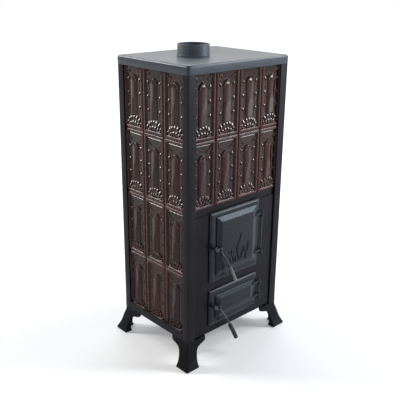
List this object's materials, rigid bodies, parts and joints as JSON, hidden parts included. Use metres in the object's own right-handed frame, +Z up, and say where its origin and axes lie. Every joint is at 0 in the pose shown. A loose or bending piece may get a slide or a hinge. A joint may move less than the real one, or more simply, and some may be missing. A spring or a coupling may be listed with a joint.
{
  "type": "tiled stove",
  "caption": "Free-standing solid-fuel stove with relief-tiled sides, a steel corner frame, cast fire and ash doors with swing latches, bowed cast legs and a flue collar on top.",
  "frame": {"origin": "on the floor, in the middle of the stove's bounding box", "axes": "+Z up; -Y out of the doors, towards the person who feeds the fire; +X to that person's right, the side of the hinges"},
  "size_m": [0.538, 0.4474, 1.14],
  "materials": {
    "tile_glaze": "gloss",
    "frame_paint": "satin",
    "top_paint": "satin",
    "door_casting": "satin",
    "casting": "matte",
    "latch_steel": "satin",
    "grip_steel": "satin",
    "dark_grip_steel": "satin",
    "firebrick": "matte",
    "pan_steel": "galvanised"
  },
  "bodies": {
    "stove": {"tile_front_r1_c1": "tile_glaze", "tile_front_r1_c2": "tile_glaze", "tile_front_r1_c3": "tile_glaze", "tile_front_r1_c4": "tile_glaze", "tile_front_r2_c1": "tile_glaze", "tile_front_r2_c2": "tile_glaze", "tile_front_r2_c3": "tile_glaze", "tile_front_r2_c4": "tile_glaze", "tile_left_r1_c1": "tile_glaze", "tile_left_r1_c2": "tile_glaze", "tile_left_r1_c3": "tile_glaze", "tile_left_r2_c1": "tile_glaze", "tile_left_r2_c2": "tile_glaze", "tile_left_r2_c3": "tile_glaze", "tile_left_r3_c1": "tile_glaze", "tile_left_r3_c2": "tile_glaze", "tile_left_r3_c3": "tile_glaze", "tile_left_r4_c1": "tile_glaze", "tile_left_r4_c2": "tile_glaze", "tile_left_r4_c3": "tile_glaze", "tile_right_r1_c1": "tile_glaze", "tile_right_r1_c2": "tile_glaze", "tile_right_r1_c3": "tile_glaze", "tile_right_r2_c1": "tile_glaze", "tile_right_r2_c2": "tile_glaze", "tile_right_r2_c3": "tile_glaze", "tile_right_r3_c1": "tile_glaze", "tile_right_r3_c2": "tile_glaze", "tile_right_r3_c3": "tile_glaze", "tile_right_r4_c1": "tile_glaze", "tile_right_r4_c2": "tile_glaze", "tile_right_r4_c3": "tile_glaze", "post_front_left": "frame_paint", "leg_front_left": "casting", "post_front_right": "frame_paint", "leg_front_right": "casting", "post_rear_left": "frame_paint", "leg_rear_left": "casting", "post_rear_right": "frame_paint", "leg_rear_right": "casting", "base_frame": "frame_paint", "mid_rail": "frame_paint", "front_panel": "frame_paint", "back_panel": "frame_paint", "top_plate": "top_paint", "flue_collar": "top_paint", "fire_door_frame": "door_casting", "ash_door_frame": "door_casting", "grate": "casting", "baffle_plate": "casting", "fire_hinge_pin": "latch_steel", "ash_hinge_pin": "latch_steel", "firebrick_lining": "firebrick", "ash_pan": "pan_steel"},
    "fire_door": {"fire_door": "door_casting"},
    "fire_latch": {"fire_latch": "latch_steel", "fire_latch_grip": "grip_steel"},
    "ash_door": {"ash_door": "door_casting"},
    "ash_latch": {"ash_latch": "latch_steel", "ash_latch_grip": "dark_grip_steel"}
  },
  "joints": [
    {"name": "fire_door_swing", "type": "hinge", "parent": "stove", "child": "fire_door", "pos_m": [0.13, -0.18725, 0.44305], "axis": [0, 0, 1], "range_deg": [0, 115]},
    {"name": "ash_door_swing", "type": "hinge", "parent": "stove", "child": "ash_door", "pos_m": [0.13, -0.18725, 0.2016], "axis": [0, 0, 1], "range_deg": [0, 115]},
    {"name": "fire_latch_turn", "type": "hinge", "parent": "fire_door", "child": "fire_latch", "pos_m": [-0.098, -0.19755, 0.44], "axis": [0, -1, 0], "range_deg": [0, 65]},
    {"name": "ash_latch_turn", "type": "hinge", "parent": "ash_door", "child": "ash_latch", "pos_m": [-0.098, -0.19755, 0.206], "axis": [0, -1, 0], "range_deg": [0, 65]}
  ]
}
